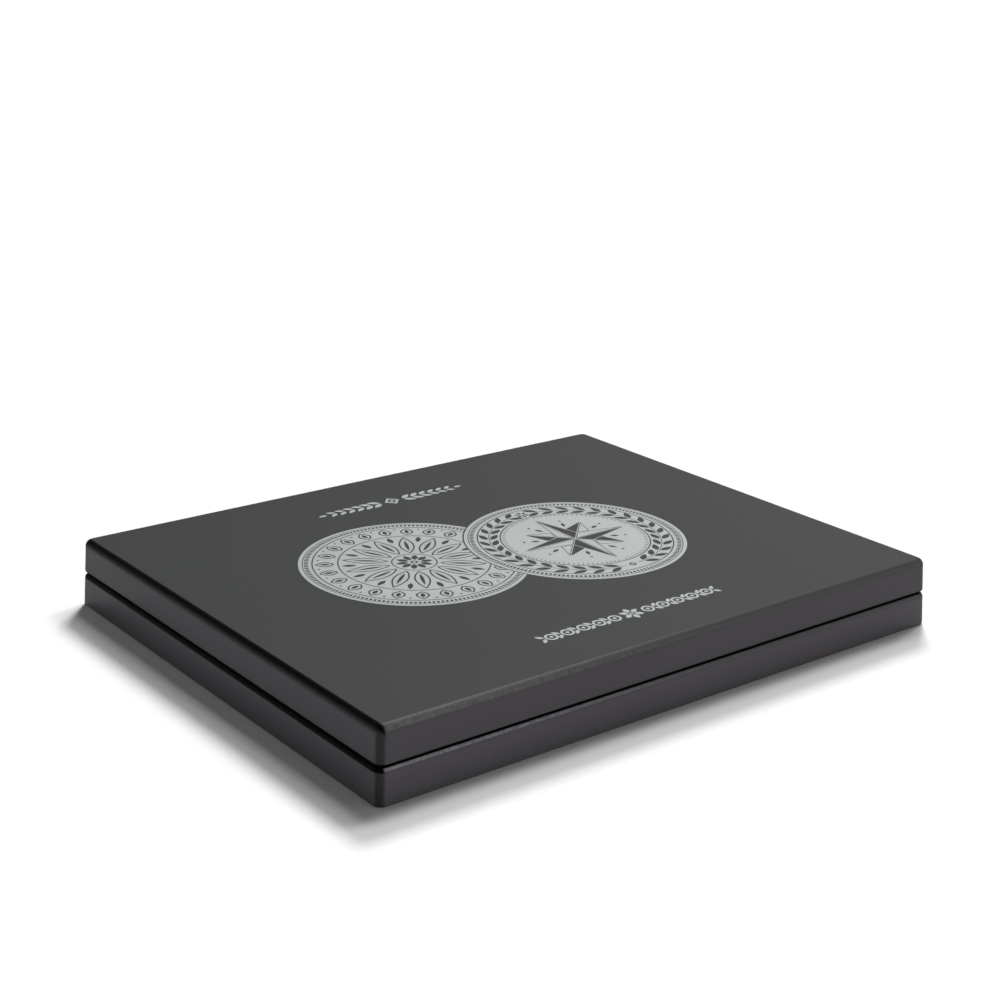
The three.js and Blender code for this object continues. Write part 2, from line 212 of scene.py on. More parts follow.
floor_radius = 8
floor_steps = 64
floor_drop = 0.0001
sweep_white = (0.96, 0.96, 0.96, 1)
shape = bmesh.new()
bmesh.ops.create_circle(shape, cap_ends=True, radius=floor_radius, segments=floor_steps)
bmesh.ops.translate(shape, verts=shape.verts, vec=(0, 0, -floor_drop))
sweep = new_finish("white_sweep", Base_Color=sweep_white, Roughness=1.0, Specular_IOR_Level=0.0)
floor = linked("floor", finished_mesh("floor", shape), sweep.owner)

bright_below = 0.12  # heights in the sky, as sines of the elevation
dark_above = 0.48
overhead_level = 0.05
world = bpy.data.worlds.new("studio")
bpy.context.scene.world = world
studio = Finish(world, "Background", Color=(1, 1, 1, 1))
outward = studio.field("ShaderNodeTexCoord", "Generated")
height = studio.field("ShaderNodeSeparateXYZ", "Z", (), {0: outward})
studio.set(Strength=studio.ramp(height, bright_below, dark_above, 1.0, overhead_level))

lamp_distance = 3
key_spread = 14
key_lamps = (  # name, heading and elevation in degrees, strength
    ("key_low", 47.5, 44.8, 2.22), ("key_right", 75, 54.7, 0.96), ("key_high", 50, 64.4, 0.66),
)
strip_length = 2.5
strip_width = 0.6
strip_strength = 20
strip_heading = 135
strip_elevation = 6.5


def place_lamp(name, light, heading, elevation):
    """Sets a lamp facing the case, so many degrees round from the rear to the right, and up."""
    across, rise = math.radians(heading), math.radians(elevation)
    flat = math.cos(rise)
    toward = Vector((math.sin(across) * flat, math.cos(across) * flat, math.sin(rise)))
    made = added(name, light)
    made.location = toward * lamp_distance
    made.rotation_euler = toward.to_track_quat("Z", "Y").to_euler()


for name, heading, elevation, strength in key_lamps:
    key = bpy.data.lights.new(name, "SUN")
    key.energy = strength
    key.angle = math.radians(key_spread)
    place_lamp(name, key, heading, elevation)
strip = bpy.data.lights.new("front_strip", "AREA")
strip.shape = "RECTANGLE"
strip.size = strip_length
strip.size_y = strip_width
strip.energy = strip_strength
place_lamp("front_strip", strip, strip_heading, strip_elevation)


# Lacquered carcass
# Base and lid are boxes of fibreboard, their mitres and panel joints filled and sanded away
# under satin black lacquer, so each half reads as one continuous skin with soft edges.
MM = 0.001
corner_radius = 4 * MM
corner_steps = 10
edge_steps = 8
top_edge_round = 2.8 * MM
lid_seam_round = 1 * MM
base_seam_round = 2.5 * MM
bottom_edge_round = 0.8 * MM
pocket_rim_round = 0.5 * MM
pocket_rim_steps = 3
tray_gap = 0.3 * MM
past = 5 * MM
nearly = 1e-6
base_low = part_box("base_bottom_panel")[0]
base_high = Vector((*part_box("base_bottom_panel")[1].xy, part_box("base_front_rail")[1].z))
lid_low = Vector((*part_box("lid_top_panel")[0].xy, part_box("lid_front_rail")[0].z))
lid_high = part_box("lid_top_panel")[1]
side_x, end_y, lid_top = lid_high / MM
lid_foot = lid_low.z / MM
base_top = base_high.z / MM

# Lacquer tones, and where painted shade, painted light and scuffs start and are full, in
# millimetres.
satin_gloss = 0.06
satin_roughness = 0.34
worn_gloss = 0.02
worn_roughness = 0.41
cloud_share = 0.4
top_paleness = 0.3
# Painted light: the lid's top is painted paler towards the front.
painted_light_forward = 0.0025  # for each millimetre towards the front
# Painted light: the share by which the base half is painted paler than the lid.
base_painted_paler = 0.6
scuff_limits = (0.32, 0.62)
least_scuffed = 0.4
# A near black, painted as shade on the roundings, the upright corners and the seam.
painted_shade_black = (0.0025, 0.0025, 0.003, 1)
top_tones = ((0.0398, 0.0415, 0.0410, 1), (0.0494, 0.0506, 0.0516, 1))
side_tones = ((0.0585, 0.0545, 0.0600, 1), (0.0795, 0.0740, 0.0810, 1))
# Front rounding tones: scuffs, with painted light that fades to the right, and painted shade near
# the lid's top.
lid_scuff_light_tones = ((0.125, 0.119, 0.122, 1), (0.081, 0.078, 0.080, 1))
upper_scuff_shade_tones = ((0.103, 0.099, 0.100, 1), (0.053, 0.051, 0.052, 1))
# Base front rounding tones: a painted highlight, with scuffs.
base_scuff_highlight_tones = ((0.25, 0.236, 0.257, 1), (0.095, 0.091, 0.097, 1))
front_end = (4 - end_y, 2.5 - end_y)
front_sides = (side_x - 2.2, side_x - 3.6)
top_edge_shade = (2.9, 2.6)  # in from the nearest side, as the next one
outer_skin = (3.0, 2.4)
lid_rounding_shade = (lid_top - 4.4, lid_top + 0.6)
around_seam = (lid_foot + 1.0, lid_foot + 0.4)
base_rounding_shade = (base_top - 2.6, base_top - 1.9)
seam_crevice = (base_top - 0.75, base_top - 0.6)
corner_start = 3.5
corner_full = 1.9
corner_shade = 0.6
painted_light_fades = (-150, 60)
lid_scuff_band = (lid_top - 2.7, lid_top - 1.7)
lid_scuff_band_higher = (lid_top - 1.4, lid_top - 0.3)
base_highlight_band = (base_top - 1.9, base_top - 1.4)


def places_mm(finish, place):
    """The coordinates of a surface point, in millimetres."""
    parts = finish.node("ShaderNodeSeparateXYZ", (), {0: place})
    return [Field(finish, parts.outputs[axis]) / MM for axis in "XYZ"]


def inside_rim(finish, x, y):
    """How far a point lies in from the nearest of the left, right and rear sides."""
    return finish.math("MINIMUM", side_x - finish.math("ABSOLUTE", x), end_y - y)


def front_share(finish, x, y):
    """Where the surface belongs to the front side rather than to the others."""
    return finish.ramp(y, *front_end) * finish.ramp(finish.math("ABSOLUTE", x), *front_sides)


def top_colour_with_painted_light(finish, place, clouds):
    """The lid's top: a trace greener than the sides, with painted light and painted shade."""
    x, y, _ = places_mm(finish, place)
    paler = clouds * cloud_share + y * -painted_light_forward + top_paleness
    top = finish.blend(paler, *top_tones)
    # Painted shade: near black along the top's left, right and rear edges.
    dark = finish.ramp(inside_rim(finish, x, y), *top_edge_shade) * (1 - front_share(finish, x, y))
    return finish.blend(dark, top, painted_shade_black)


def scuffs_and_painted_light_colour(finish, place, clouds):
    """The sides: painted shade on edges, corners and seam; scuffs and painted light on the front
    edges.
    """
    x, y, z = places_mm(finish, place)
    # Painted light: the base half is painted paler than the lid, for bounce light from the floor.
    paler = clouds * cloud_share + finish.ramp(z, lid_foot, base_top, 0.0, base_painted_paler)
    face = finish.blend(paler, *side_tones)
    front = front_share(finish, x, y)
    inside = inside_rim(finish, x, y)
    outer = finish.ramp(finish.math("MINIMUM", inside, end_y + y), *outer_skin)
    # Painted shade: near black over the lid's top rounding and the top of its sides, except at the
    # front.
    lid_rim_shade = finish.ramp(z + inside, *lid_rounding_shade) * outer
    seam = finish.ramp(z, *around_seam) * outer
    # Painted shade: near black on the base's upper rounding, except at the front.
    base_rim_shade = finish.ramp(z, *base_rounding_shade) * seam
    # Painted shade: near black in the seam, over the base's top edge and the lid's lower edge, all
    # round.
    crevice_shade = finish.ramp(z, *seam_crevice) * seam
    # Painted shade: darker down the four upright corners.
    dark = corner_shade
    for offset, reach in ((x, side_x), (y, end_y)):
        offset = finish.math("ABSOLUTE", offset)
        dark = finish.ramp(offset, reach - corner_start, reach - corner_full) * dark
    for zone in (lid_rim_shade * (1 - front), base_rim_shade * (1 - front), crevice_shade):
        dark = finish.math("MAXIMUM", dark, zone)
    skin = finish.blend(dark, face, painted_shade_black)
    # Painted light: the pale front bands are paler at the left end and fade towards the right.
    further = finish.ramp(x, *painted_light_fades)
    lid_scuff_light = finish.blend(further, *lid_scuff_light_tones)
    upper_scuff_shade = finish.blend(further, *upper_scuff_shade_tones)
    base_scuff_highlight = finish.blend(further, *base_scuff_highlight_tones)
    # Painted shade: the lid's front band is painted darker near its top, against the stronger light
    # there.
    lid_scuff_light = finish.blend(finish.ramp(z, *lid_scuff_band_higher), lid_scuff_light, upper_scuff_shade)
    specks = finish.noise(place, scale=700, detail=3, roughness=0.7)
    scuffs = front * finish.ramp(specks, *scuff_limits, least_scuffed, 1.0)
    skin = finish.blend(finish.ramp(z, *lid_scuff_band) * scuffs, skin, lid_scuff_light)
    # Painted highlight: the base's front rounding is painted pale, broken by scuff specks.
    base_highlight_share = finish.ramp(z, *base_highlight_band) * seam * (1 - crevice_shade)
    return finish.blend(base_highlight_share * scuffs, skin, base_scuff_highlight)


def sprayed_lacquer(name, gloss, roughness, colour_of):
    """Sprayed and rubbed down: slightly cloudy, with a trace of peel."""
    finish = new_finish(name, Specular_IOR_Level=gloss)
    place = finish.place()
    clouds = finish.noise(place, scale=14, detail=3, roughness=0.6)
    peel = finish.noise(place, scale=900, detail=2, roughness=0.5)
    finish.set(Base_Color=colour_of(finish, place, clouds), Roughness=roughness + clouds * 0.06)
    finish.relief(peel, strength=0.04, depth=0.05 * MM)
    return finish.owner


lacquer = sprayed_lacquer("satin_black_lacquer", satin_gloss, satin_roughness, scuffs_and_painted_light_colour)
matted_lacquer = sprayed_lacquer("matted_black_lacquer", worn_gloss, worn_roughness, top_colour_with_painted_light)
rounding_lacquer = sprayed_lacquer("rubbed_black_lacquer", worn_gloss, worn_roughness, scuffs_and_painted_light_colour)


def solid_block(low, high):
    """A bmesh block between two corners."""
    shape = bmesh.new()
    low, high = Vector(low), Vector(high)
    bmesh.ops.create_cube(shape, size=1)
    bmesh.ops.scale(shape, verts=shape.verts, vec=high - low)
    bmesh.ops.translate(shape, verts=shape.verts, vec=(low + high) / 2)
    return shape


def solid_rod(low, high, radius, segments=48):
    """A bmesh rod between the middles of its two ends."""
    shape = bmesh.new()
    low, high = Vector(low), Vector(high)
    bmesh.ops.create_cone(
        shape, cap_ends=True, segments=segments, radius1=radius, radius2=radius,
        depth=(high - low).length,
    )
    turn = upright.rotation_difference(high - low).to_matrix()
    bmesh.ops.rotate(shape, verts=shape.verts, cent=(0, 0, 0), matrix=turn)
    bmesh.ops.translate(shape, verts=shape.verts, vec=(low + high) / 2)
    return shape


def round_edges(shape, chosen, radius, segments):
    bmesh.ops.bevel(
        shape, geom=chosen, offset=radius, offset_type="OFFSET", segments=segments,
        profile=0.5, affect="EDGES", clamp_overlap=True, material=-1,
    )


def edges_where(shape, test):
    """The edges whose both ends pass a test of their place."""
    return [e for e in shape.edges if all(test(v.co) for v in e.verts)]


def upright_edges(edges):
    """Those of a block's edges that run up and down."""
    return [e for e in edges if abs(e.verts[0].co.z - e.verts[1].co.z) > nearly]


def combined(target, operation, shapes):
    """Cuts each bmesh out of the object's mesh, or joins it on."""
    for shape in shapes:
        other = linked("other", finished_mesh("other", shape))
        step = target.modifiers.new("step", "BOOLEAN")
        step.object = other
        step.operation = operation
        step.solver = "EXACT"
        bpy.context.view_layer.update()
        view = target.evaluated_get(bpy.context.evaluated_depsgraph_get())
        mesh = bpy.data.meshes.new_from_object(view)
        target.modifiers.remove(step)
        old = target.data
        target.data = mesh
        bpy.data.meshes.remove(old)
        bpy.data.meshes.remove(other.data)


def smooth_shaded(made, sharp_degrees=35):
    """Soft shading over rounded edges, flat faces kept flat."""
    mesh = made.data
    mesh.shade_smooth()
    mesh.set_sharp_from_angle(angle=math.radians(sharp_degrees))
    weighted = made.modifiers.new("weighted", "WEIGHTED_NORMAL")
    weighted.keep_sharp = True


tray_low, tray_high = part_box("insert_board")
pocket_low = tray_low - Vector((tray_gap, tray_gap, 0))
pocket_high = tray_high + Vector((tray_gap, tray_gap, 0))


def carcass_half(name, low, high, floor_z, seam_z, low_round, high_round, nodes, body):
    """One half: a rounded block, hollowed by the pocket from its seam side to its panel."""
    shape = solid_block(low, high)
    round_edges(shape, upright_edges(shape.edges), corner_radius, corner_steps)
    for z, radius in ((low.z, low_round), (high.z, high_round)):
        rim = edges_where(shape, lambda co: abs(co.z - z) < nearly)
        round_edges(shape, rim, radius, edge_steps)
    made = linked(name, finished_mesh(name, shape), lacquer)
    mouth_z = seam_z + math.copysign(past, seam_z - floor_z)
    pocket = solid_block(
        (pocket_low.x, pocket_low.y, min(floor_z, mouth_z)),
        (pocket_high.x, pocket_high.y, max(floor_z, mouth_z)),
    )
    combined(made, "DIFFERENCE", [pocket])
    shape = bmesh.new()
    shape.from_mesh(made.data)
    rim = edges_where(shape, lambda co: (
        abs(co.z - seam_z) < nearly
        and pocket_low.x - nearly < co.x < pocket_high.x + nearly
        and pocket_low.y - nearly < co.y < pocket_high.y + nearly
    ))
    round_edges(shape, rim, pocket_rim_round, pocket_rim_steps)
    shape.to_mesh(made.data)
    shape.free()
    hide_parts(*nodes)
    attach(made, body)
    return made


base_seam_z = base_high.z
lid_seam_z = lid_low.z
sides = ("front", "rear", "left", "right")
base_shell = carcass_half(
    "base_shell", base_low, base_high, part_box("base_bottom_panel")[1].z, base_seam_z,
    bottom_edge_round, base_seam_round,
    ["base_bottom_panel", *(f"base_{side}_rail" for side in sides)], "base",
)
lid_shell = carcass_half(
    "lid_shell", lid_low, lid_high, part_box("lid_top_panel")[0].z, lid_seam_z,
    lid_seam_round, top_edge_round,
    ["lid_top_panel", *(f"lid_{side}_rail" for side in sides)], "lid",
)
roundings = (
    (base_high.z - base_seam_round, base_high.z), (lid_low.z, lid_low.z + lid_seam_round),
    (lid_high.z - top_edge_round, lid_high.z),
)
for shell in (base_shell, lid_shell):
    shell.data.materials.append(rounding_lacquer)
    shell.data.materials.append(matted_lacquer)
    for face in shell.data.polygons:
        if any(start < face.center.z < end - nearly for start, end in roundings):
            face.material_index = 1
        elif face.center.z > lid_high.z - nearly:
            face.material_index = 2

# Mortises and magnet holes
# The rear rails are routed out for the hinge leaves and for the barrel, and the front rails
# are drilled for the disc magnets, after the boxes are made and before they are lacquered.
leaf_thickness = 1.2 * MM
leaf_seat_gap = 0.1 * MM
barrel_radius = 2 * MM
barrel_notch_gap = 0.3 * MM
magnet_hole_gap = 0.1 * MM
ends = ("left", "right")
pin_low, pin_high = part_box("hinge_left_pin")
axis_y = (pin_low.y + pin_high.y) / 2
axis_z = (pin_low.z + pin_high.z) / 2
leaf_inner_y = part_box("hinge_left_base_leaf")[0].y


def hinge_room(end, seam_z, down):
    """The two cutters for one leaf: a shallow bed for the plate and a groove for the barrel."""
    low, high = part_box(f"hinge_{end}_pin")
    bed_z = seam_z - down * (leaf_thickness + leaf_seat_gap)
    open_z = seam_z + down * past
    bed = solid_block(
        (low.x - leaf_seat_gap, leaf_inner_y - leaf_seat_gap, min(bed_z, open_z)),
        (high.x + leaf_seat_gap, axis_y + past, max(bed_z, open_z)),
    )
    groove = solid_rod(
        (low.x - barrel_notch_gap, axis_y, axis_z),
        (high.x + barrel_notch_gap, axis_y, axis_z),
        barrel_radius + barrel_notch_gap,
    )
    return [bed, groove]


def magnet_room(node, down):
    """The cutter for one magnet's hole, open at the seam."""
    low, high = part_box(node)
    middle = (low + high) / 2
    inner_z = (low.z if down > 0 else high.z) - down * magnet_hole_gap
    inner = Vector((middle.x, middle.y, inner_z))
    mouth = inner + Vector((0, 0, down * past))
    return [solid_rod(inner, mouth, (high.x - low.x) / 2 + magnet_hole_gap)]


for end in ends:
    combined(base_shell, "DIFFERENCE", hinge_room(end, base_seam_z, 1))
    combined(lid_shell, "DIFFERENCE", hinge_room(end, lid_seam_z, -1))
    combined(base_shell, "DIFFERENCE", magnet_room(f"base_magnet_{end}", 1))
    combined(lid_shell, "DIFFERENCE", magnet_room(f"lid_magnet_{end}", -1))
for shell in (base_shell, lid_shell):
    smooth_shaded(shell)


# Riser board
# A plain sheet of raw fibreboard on the bottom panel. It lifts the tray to the height at
# which the lid's lining holds the coins down.
riser_tones = (srgb(118, 92, 64), srgb(158, 130, 98))


def fibrous_sheet(name, tones, roughness, fibres, strength, depth):
    """Pressed fibres: mottled between two tones, with a fine relief."""
    finish = new_finish(name, Specular_IOR_Level=0.2, Roughness=roughness)
    mottle = finish.noise(finish.place(), **fibres)
    finish.set(Base_Color=finish.blend(mottle, *tones))
    finish.relief(mottle, strength, depth)
    return finish.owner


def repaint(made, material):
    """Gives an object one finish in place of what its mesh has."""
    made.data.materials.clear()
    made.data.materials.append(material)


raw_fibreboard = fibrous_sheet(
    "raw_fibreboard", riser_tones, roughness=0.85,
    fibres={"scale": 700, "detail": 4, "roughness": 0.7}, strength=0.4, depth=0.1 * MM,
)
repaint(frame["nodes"]["insert_riser"], raw_fibreboard)


# Tray floor
# A thin sheet between the riser board and the tray board, faced with the same velour as the
# tray board. The coins lie on it.
velour_tones = (srgb(30, 30, 33), srgb(50, 50, 54))
velour_sheen = (0.75, 0.76, 0.82, 1)


def black_velour():
    """Short pile with a pale sheen, brushed this way and that."""
    finish = new_finish(
        "black_velour", Specular_IOR_Level=0.1,
        Sheen_Weight=0.45, Sheen_Roughness=0.4, Sheen_Tint=velour_sheen,
    )
    place = finish.place()
    pile = finish.noise(place, scale=2600, detail=2, roughness=0.6)
    nap = finish.noise(place, scale=45, detail=4, roughness=0.65, distortion=0.8)
    brushed = finish.field("ShaderNodeMapRange", 0, (), {
        "Value": nap * 0.75 + pile * 0.25, "From Min": 0.35, "From Max": 0.65,
    })
    finish.set(Base_Color=finish.blend(brushed, *velour_tones), Roughness=0.98 - nap * 0.15)
    finish.relief(pile, strength=0.5, depth=0.12 * MM)
    return finish.owner


velour = black_velour()
repaint(frame["nodes"]["insert_floor"], velour)


# Tray board
# Twenty round holes are punched through a board, and velour is drawn over it and down into
# each hole, which leaves soft lips round the recesses and a soft edge along the rails.
recess_radius = 23 * MM
recess_lip = 1.3 * MM
tray_edge_round = 1.2 * MM
recess_steps = 64
place_digits = 6
lip_steps = 5
columns = 5
rows = 4


def recess_middles(axis, count):
    """The middles of the recesses along one axis, from the record's openings."""
    places = set()
    for opening in frame["record"]["physics"]["openings"]:
        if opening["name"].startswith("recess_"):
            low, high = opening["box_m"]
            places.add(round((low[axis] + high[axis]) / 2, place_digits))
    assert len(places) == count
    return sorted(places)


def cell_edges(middles, low, high):
    """Each recess's share of the board: up to half way to its neighbours, or to the edge."""
    between = [(a + b) / 2 for a, b in zip(middles, middles[1:])]
    return list(zip([low, *between], [*between, high]))


def quarter(radius, steps):
    """Insets and drops of a quarter round, from the flat to the upright."""
    angles = [step / steps * math.pi / 2 for step in range(1, steps + 1)]
    return [(radius * (1 - math.sin(a)), radius * (1 - math.cos(a))) for a in angles]


def reach_border(ring, middle, cell):
    """Moves a ring of points out to the border of its rectangular cell."""
    (x_low, x_high), (y_low, y_high) = cell
    for v in ring:
        out = v.co.xy - middle
        out /= max(abs(out.x), abs(out.y))
        v.co.x = middle.x + out.x * (x_high - middle.x if out.x > 0 else middle.x - x_low)
        v.co.y = middle.y + out.y * (y_high - middle.y if out.y > 0 else middle.y - y_low)


def only(kind, grown):
    """The points, edges or faces among what an operator has made."""
    return [g for g in grown["geom"] if isinstance(g, kind)]


def next_ring(shape, edges, z):
    """Extrudes a ring of edges to another height and returns its new edges and points."""
    grown = bmesh.ops.extrude_edge_only(shape, edges=edges)
    ring = only(bmesh.types.BMVert, grown)
    for v in ring:
        v.co.z = z
    return only(bmesh.types.BMEdge, grown), ring


def add_recess(shape, middle, low_cell, high_cell, low_z, high_z):
    """One cell of the board: underside, wall, lip and top, as rings extruded one from another."""
    made = bmesh.ops.create_circle(shape, radius=recess_radius, segments=recess_steps)
    bmesh.ops.translate(shape, verts=made["verts"], vec=(*middle, low_z))
    foot = list({e for v in made["verts"] for e in v.link_edges})
    reach_border(next_ring(shape, foot, low_z)[1], middle, low_cell)
    edges = foot
    lip = [(recess_radius + inset, high_z - drop) for inset, drop in quarter(recess_lip, lip_steps)]
    for radius, z in [*reversed(lip), (recess_radius + recess_lip, high_z)]:
        edges, ring = next_ring(shape, edges, z)
        for v in ring:
            v.co.xy = middle + (v.co.xy - middle).normalized() * radius
    reach_border(next_ring(shape, edges, high_z)[1], middle, high_cell)


def rim_edges(shape, z):
    """The open edges at one height."""
    return [e for e in edges_where(shape, lambda co: abs(co.z - z) < nearly) if e.is_boundary]


def drawn_over_board():
    """The whole board: its recesses side by side, then its rounded rim and its sides."""
    low_z, high_z = tray_low.z, tray_high.z
    inset = tray_edge_round
    shape = bmesh.new()
    x_middles = recess_middles(0, columns)
    y_middles = recess_middles(1, rows)
    for x, low_x, high_x in zip(
        x_middles,
        cell_edges(x_middles, tray_low.x, tray_high.x),
        cell_edges(x_middles, tray_low.x + inset, tray_high.x - inset),
    ):
        for y, low_y, high_y in zip(
            y_middles,
            cell_edges(y_middles, tray_low.y, tray_high.y),
            cell_edges(y_middles, tray_low.y + inset, tray_high.y - inset),
        ):
            add_recess(shape, Vector((x, y)), (low_x, low_y), (high_x, high_y), low_z, high_z)
    bmesh.ops.remove_doubles(shape, verts=shape.verts, dist=nearly)
    underside = rim_edges(shape, low_z)
    edges = rim_edges(shape, high_z)
    half = (tray_high - tray_low) / 2
    reached = Vector((half.x - inset, half.y - inset))
    for gap, drop in quarter(tray_edge_round, lip_steps):
        edges, ring = next_ring(shape, edges, high_z - drop)
        wanted = Vector((half.x - gap, half.y - gap))
        grow = (wanted.x / reached.x, wanted.y / reached.y, 1)
        bmesh.ops.scale(shape, verts=ring, vec=grow)
        reached = wanted
    bmesh.ops.bridge_loops(shape, edges=[*underside, *edges])
    bmesh.ops.recalc_face_normals(shape, faces=shape.faces)
    return shape


tray = linked("tray_board", finished_mesh("tray_board", drawn_over_board()), velour)
smooth_shaded(tray, sharp_degrees=50)
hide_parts("insert_board")
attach(tray, "base")

# Lining board
# A black card, cut to the lid's pocket and glued against the top panel. It carries the
# lining, whose satin is turned over its edge.
card_tones = (srgb(27, 27, 28), srgb(42, 42, 43))
black_card = fibrous_sheet(
    "black_card", card_tones, roughness=0.9,
    fibres={"scale": 500, "detail": 5, "roughness": 0.75}, strength=0.3, depth=0.05 * MM,
)
repaint(frame["nodes"]["lid_pad_board"], black_card)


# Lining cushion
# Black satin over foam, pulled round the card's edge and glued behind it. The foam crowns the
# face, and the pull draws the sides in between the corners and leaves small puckers there.
satin_tones = (srgb(20, 20, 23), srgb(34, 34, 38))
satin_sheen = (0.6, 0.62, 0.7, 1)


def black_satin():
    """Close weave, the warp showing more than the weft, with a few slubs."""
    finish = new_finish(
        "black_satin", Specular_IOR_Level=0.5,
        Sheen_Weight=0.3, Sheen_Roughness=0.3, Sheen_Tint=satin_sheen,
    )
    place = finish.place()
    warp, weft = (
        finish.field("ShaderNodeTexWave", "Fac", {"bands_direction": axis}, {
            "Vector": place, "Scale": scale, "Distortion": 1.5, "Detail": 1, "Detail Scale": 60,
        })
        for axis, scale in (("X", 700), ("Y", 500))
    )
    slubs = finish.noise(place, scale=60, detail=4, roughness=0.6)
    weave = warp * 0.7 + weft * 0.3
    tone = finish.blend(weave * 0.5 + slubs * 0.5, *satin_tones)
    finish.set(Base_Color=tone, Roughness=0.34 + slubs * 0.12)
    finish.relief(weave, strength=0.25, depth=0.04 * MM)
    return finish.owner


pad_low, pad_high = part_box("lid_pad")
pad_cell = 4 * MM
pad_edge = 2.2 * MM
pad_draw_in = 1.6 * MM
pad_crown_power = 8
layer_shares = (0.5, 1)
pad_swell = 0.9 * MM
pad_frames = 20
pad_pressure = 2.0
pad_growth = 0.018


def foam_shape():
    """The cushion before its satin settles: flat at the back, crowned in front."""
    half = (pad_high - pad_low) / 2
    shape = bmesh.new()
    steps_along = round(2 * half.x / pad_cell)
    steps_across = round(2 * half.y / pad_cell)
    bmesh.ops.create_grid(shape, x_segments=steps_along, y_segments=steps_across, size=1)
    front = list(shape.verts)
    layers = [front]
    faces = list(shape.faces)
    for _ in layer_shares:
        grown = bmesh.ops.extrude_face_region(shape, geom=faces)
        faces = only(bmesh.types.BMFace, grown)
        layers.append(only(bmesh.types.BMVert, grown))
    depth = pad_high.z - pad_low.z
    for v in front:
        fall = math.sqrt(1 - abs(v.co.x) ** pad_crown_power)
        fall *= math.sqrt(1 - abs(v.co.y) ** pad_crown_power)
        v.co.z = pad_low.z + (depth - pad_edge) * (1 - fall)
    for share, layer in zip(layer_shares, layers[1:]):
        for v in layer:
            v.co.z = pad_high.z - pad_edge * (1 - share)
    for v in shape.verts:
        u, w = v.co.x, v.co.y
        v.co.x = u * (half.x - pad_draw_in * (1 - w * w))
        v.co.y = w * (half.y - pad_draw_in * (1 - u * u))
    bmesh.ops.recalc_face_normals(shape, faces=shape.faces)
    return shape


def settled(cushion, held_above):
    """Blows the satin up a little over the foam, with its back held, and keeps the result."""
    mesh = cushion.data
    rest = [v.co.copy() for v in mesh.vertices]
    held = cushion.vertex_groups.new(name="glued")
    held.add([i for i, co in enumerate(rest) if co.z > held_above], 1.0, "REPLACE")
    cloth = cushion.modifiers.new("satin", "CLOTH")
    settings = cloth.settings
    settings.quality = 8
    settings.mass = 0.15
    settings.tension_stiffness = 12
    settings.compression_stiffness = 12
    settings.shear_stiffness = 4
    settings.bending_stiffness = 0.3
    settings.use_pressure = True
    settings.uniform_pressure_force = pad_pressure
    settings.shrink_min = -pad_growth
    settings.vertex_group_mass = held.name
    settings.effector_weights.gravity = 0
    cloth.collision_settings.use_collision = False
    scene = bpy.context.scene
    for number in range(1, pad_frames + 1):
        scene.frame_set(number)
    view = cushion.evaluated_get(bpy.context.evaluated_depsgraph_get())
    moved = [v.co.copy() for v in view.data.vertices]
    cushion.modifiers.remove(cloth)
    cushion.vertex_groups.remove(held)
    scene.frame_set(1)
    for vertex, start, end in zip(mesh.vertices, rest, moved):
        step = end - start
        if step.length > pad_swell:
            step *= pad_swell / step.length
        vertex.co = start + step


cushion = linked("lining_cushion", finished_mesh("lining_cushion", foam_shape()), black_satin())
settled(cushion, pad_high.z - nearly)
cushion.data.shade_smooth()
finer = cushion.modifiers.new("finer", "SUBSURF")
finer.levels = 1
finer.render_levels = 1
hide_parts("lid_pad")
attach(cushion, "lid")


# Stop hinges
# Two nickel-plated steel hinges. Each leaf is a plate rolled into knuckles at its rear edge,
# and a bar behind the base leaf's barrel stops the lid leaf's lug once the lid is open.
nickel = (0.62, 0.60, 0.565, 1)
smear_shade = 0.82


def plated_steel(name, tint, along, dullness=0.20):
    """Bright plating over a drawn or turned surface: fine lines along one direction."""
    finish = new_finish(name, Metallic=1.0)
    place = finish.place()
    stretched = finish.field("ShaderNodeMapping", 0, (), {"Vector": place, "Scale": along})
    lines = finish.noise(stretched, scale=1, detail=3, roughness=0.6)
    smears = finish.noise(place, scale=220, detail=3, roughness=0.55)
    dull = (*(smear_shade * c for c in tint[:3]), 1)
    roughness = dullness + lines * 0.14 + smears * 0.06
    finish.set(Base_Color=finish.blend(smears, dull, tint), Roughness=roughness)
    finish.relief(lines, strength=0.25, depth=0.01 * MM)
    return finish.owner


drawn_nickel = plated_steel("drawn_nickel", nickel, along=(60, 4000, 4000))
knuckle_length = 10 * MM
knuckle_gap = 0.2 * MM
sweep_gap = 0.2 * MM
bore_radius = 1.05 * MM
bar_wall = 1.1 * MM
bar_root = 0.3 * MM
lug_degrees = (62, 88)
bar_degrees = (-62.4, -36.4)
sector_steps = 12
barrel_steps = 64
leaf_bevel = 0.12 * MM
wear_steps = 2
leaf_corner = 1 * MM
leaf_corner_steps = 6
pin_end_round = 0.25 * MM
pin_end_steps = 3
hinge_length = pin_high.x - pin_low.x
half_hinge = hinge_length / 2
half_knuckle = knuckle_length / 2
sweep_radius = barrel_radius + sweep_gap
bar_radius = sweep_radius + bar_wall


def barrel_rod(low_x, high_x, radius):
    """A rod along the hinge axis."""
    return solid_rod((low_x, axis_y, axis_z), (high_x, axis_y, axis_z), radius, barrel_steps)


